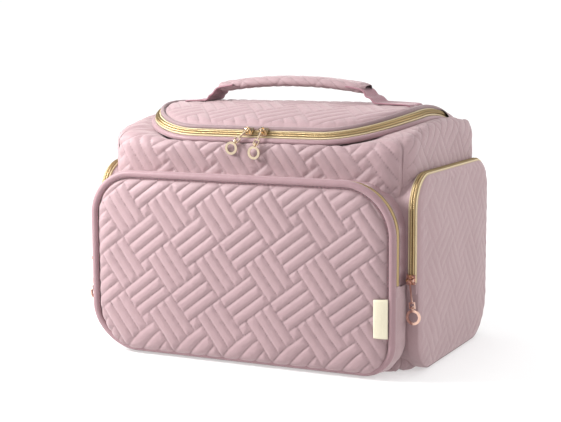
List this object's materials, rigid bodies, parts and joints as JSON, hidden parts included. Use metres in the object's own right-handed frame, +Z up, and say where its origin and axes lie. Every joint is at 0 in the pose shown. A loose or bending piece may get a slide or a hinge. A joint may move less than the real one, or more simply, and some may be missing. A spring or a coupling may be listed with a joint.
{
  "type": "makeup train case",
  "caption": "Soft quilted train case for makeup, with a zipped vaulted lid, padded top handle, zipped front and side pockets and padded dividers.",
  "frame": {"origin": "centre of the case's outline, on the surface that it stands on", "axes": "+X to the right as seen from the front, the front faces -Y, +Z up"},
  "size_m": [0.3314, 0.2356, 0.2535],
  "materials": {
    "quilted_fabric": "woven quilted polyester with a slight sheen",
    "plain_fabric": "plain polyester weave",
    "binding": "corded satin binding",
    "webbing": "flat woven webbing",
    "lining": "smooth lining cloth",
    "mesh": "open net",
    "divider": "padded cloth",
    "board": "stiff board",
    "tag": "folded blank woven tab",
    "zip_tape": "zip tape",
    "zip_teeth": "metallised coil teeth",
    "rose_gold": "polished rose gold plate"
  },
  "bodies": {
    "case": {"base_panel": "quilted_fabric", "front_wall": "quilted_fabric", "back_wall": "quilted_fabric", "side_wall_left": "quilted_fabric", "side_wall_right": "quilted_fabric", "main_lining": "lining", "base_stiffener": "board", "lid_zip_lower_tape": "zip_tape", "lid_zip_lower_teeth": "zip_teeth", "lid_zip_welt": "binding", "hinge_binding": "binding", "front_pocket_gusset": "plain_fabric", "front_pocket_pouch": "quilted_fabric", "front_piping_lower": "binding", "front_zip_inner_tape": "zip_tape", "front_zip_inner_teeth": "zip_teeth", "blank_tag": "tag", "side_gusset_left": "plain_fabric", "side_pouch_left": "quilted_fabric", "side_zip_inner_left": "zip_tape", "side_gusset_right": "plain_fabric", "side_pouch_right": "quilted_fabric", "side_zip_inner_right": "zip_tape"},
    "lid": {"lid_zip_upper_tape": "zip_tape", "lid_zip_upper_teeth": "zip_teeth", "lid_panel": "quilted_fabric", "lid_lining": "lining", "lid_mesh_pocket": "mesh", "handle_foot_left": "webbing", "handle_foot_right": "webbing"},
    "handle": {"handle_grip": "quilted_fabric", "handle_riser_left": "webbing", "handle_riser_right": "webbing"},
    "front_flap": {"front_flap_panel": "quilted_fabric", "front_piping_upper": "binding", "front_zip_outer_tape": "zip_tape", "front_zip_outer_teeth": "zip_teeth"},
    "side_flap_left": {"side_flap_left": "quilted_fabric", "side_zip_outer_left": "zip_tape"},
    "side_flap_right": {"side_flap_right": "quilted_fabric", "side_zip_outer_right": "zip_tape"},
    "divider_left": {"divider_left": "divider"},
    "divider_right": {"divider_right": "divider"},
    "lid_slider_left": {"lid_slider_left": "rose_gold"},
    "lid_link_left": {"lid_link_left": "rose_gold"},
    "lid_ring_left": {"lid_ring_left": "rose_gold"},
    "lid_slider_right": {"lid_slider_right": "rose_gold"},
    "lid_link_right": {"lid_link_right": "rose_gold"},
    "lid_ring_right": {"lid_ring_right": "rose_gold"},
    "front_slider": {"front_slider": "rose_gold"},
    "front_link": {"front_link": "rose_gold"},
    "front_ring": {"front_ring": "rose_gold"},
    "side_left_slider": {"side_left_slider": "rose_gold"},
    "side_left_link": {"side_left_link": "rose_gold"},
    "side_left_ring": {"side_left_ring": "rose_gold"},
    "side_right_slider": {"side_right_slider": "rose_gold"},
    "side_right_link": {"side_right_link": "rose_gold"},
    "side_right_ring": {"side_right_ring": "rose_gold"}
  },
  "joints": [
    {"name": "lid_hinge", "type": "hinge", "parent": "case", "child": "lid", "pos_m": [0, 0.09915, 0.2065], "axis": [-1, 0, 0], "range_deg": [0, 110]},
    {"name": "handle_swing", "type": "hinge", "parent": "lid", "child": "handle", "pos_m": [0, 0.01265, 0.2323], "axis": [1, 0, 0], "range_deg": [-40, 40]},
    {"name": "front_flap_fold", "type": "hinge", "parent": "case", "child": "front_flap", "pos_m": [0, -0.11665, 0.079], "axis": [1, 0, 0], "range_deg": [0, 100]},
    {"name": "side_flap_fold_left", "type": "hinge", "parent": "case", "child": "side_flap_left", "pos_m": [-0.1643, 0.01265, 0.079], "axis": [0, -1, 0], "range_deg": [0, 90]},
    {"name": "side_flap_fold_right", "type": "hinge", "parent": "case", "child": "side_flap_right", "pos_m": [0.1643, 0.01265, 0.079], "axis": [0, 1, 0], "range_deg": [0, 90]},
    {"name": "divider_slide_left", "type": "slide", "parent": "case", "child": "divider_left", "axis": [1, 0, 0], "range_m": [-0.03, 0.03]},
    {"name": "divider_slide_right", "type": "slide", "parent": "case", "child": "divider_right", "axis": [1, 0, 0], "range_m": [-0.03, 0.03]},
    {"name": "lid_slider_run_left", "type": "slide", "parent": "lid", "child": "lid_slider_left", "axis": [-1, 0, 0], "range_m": [0, 0.045]},
    {"name": "lid_slider_run_right", "type": "slide", "parent": "lid", "child": "lid_slider_right", "axis": [1, 0, 0], "range_m": [0, 0.045]},
    {"name": "front_slider_run", "type": "slide", "parent": "case", "child": "front_slider", "axis": [0, 0, 1], "range_m": [0, 0.032]},
    {"name": "side_left_slider_run", "type": "slide", "parent": "case", "child": "side_left_slider", "axis": [0, 0, 1], "range_m": [0, 0.06]},
    {"name": "side_right_slider_run", "type": "slide", "parent": "case", "child": "side_right_slider", "axis": [0, 0, 1], "range_m": [0, 0.06]},
    {"name": "lid_link_left_swing", "type": "hinge", "parent": "lid_slider_left", "child": "lid_link_left", "pos_m": [-0.005, -0.07925, 0.20894], "axis": [-1, 0, 0], "range_deg": [0, 110]},
    {"name": "lid_ring_left_swing", "type": "hinge", "parent": "lid_link_left", "child": "lid_ring_left", "pos_m": [-0.01389, -0.0856, 0.19795], "axis": [-0.8192, 0, 0.5736], "range_deg": [0, 70]},
    {"name": "lid_link_right_swing", "type": "hinge", "parent": "lid_slider_right", "child": "lid_link_right", "pos_m": [0.01, -0.07925, 0.20894], "axis": [-1, 0, 0], "range_deg": [0, 110]},
    {"name": "lid_ring_right_swing", "type": "hinge", "parent": "lid_link_right", "child": "lid_ring_right", "pos_m": [0.00678, -0.08683, 0.19581], "axis": [-0.9781, 0, 0.2079], "range_deg": [0, 70]},
    {"name": "front_link_swing", "type": "hinge", "parent": "front_slider", "child": "front_link", "pos_m": [-0.1567, -0.10235, 0.085], "axis": [0, 1, 0], "range_deg": [0, 110]},
    {"name": "front_ring_swing", "type": "hinge", "parent": "front_link", "child": "front_ring", "pos_m": [-0.1567, -0.10235, 0.061], "axis": [0, 1, 0], "range_deg": [0, 70]},
    {"name": "side_left_link_swing", "type": "hinge", "parent": "side_left_slider", "child": "side_left_link", "pos_m": [-0.1555, 0.11535, 0.085], "axis": [1, 0, 0], "range_deg": [0, 110]},
    {"name": "side_left_ring_swing", "type": "hinge", "parent": "side_left_link", "child": "side_left_ring", "pos_m": [-0.15822, 0.11535, 0.06115], "axis": [0.9936, 0, -0.1132], "range_deg": [0, 70]},
    {"name": "side_right_link_swing", "type": "hinge", "parent": "side_right_slider", "child": "side_right_link", "pos_m": [0.1555, -0.09105, 0.085], "axis": [-1, 0, 0], "range_deg": [0, 110]},
    {"name": "side_right_ring_swing", "type": "hinge", "parent": "side_right_link", "child": "side_right_ring", "pos_m": [0.15822, -0.09105, 0.06115], "axis": [-0.9936, 0, -0.1132], "range_deg": [0, 70]}
  ]
}
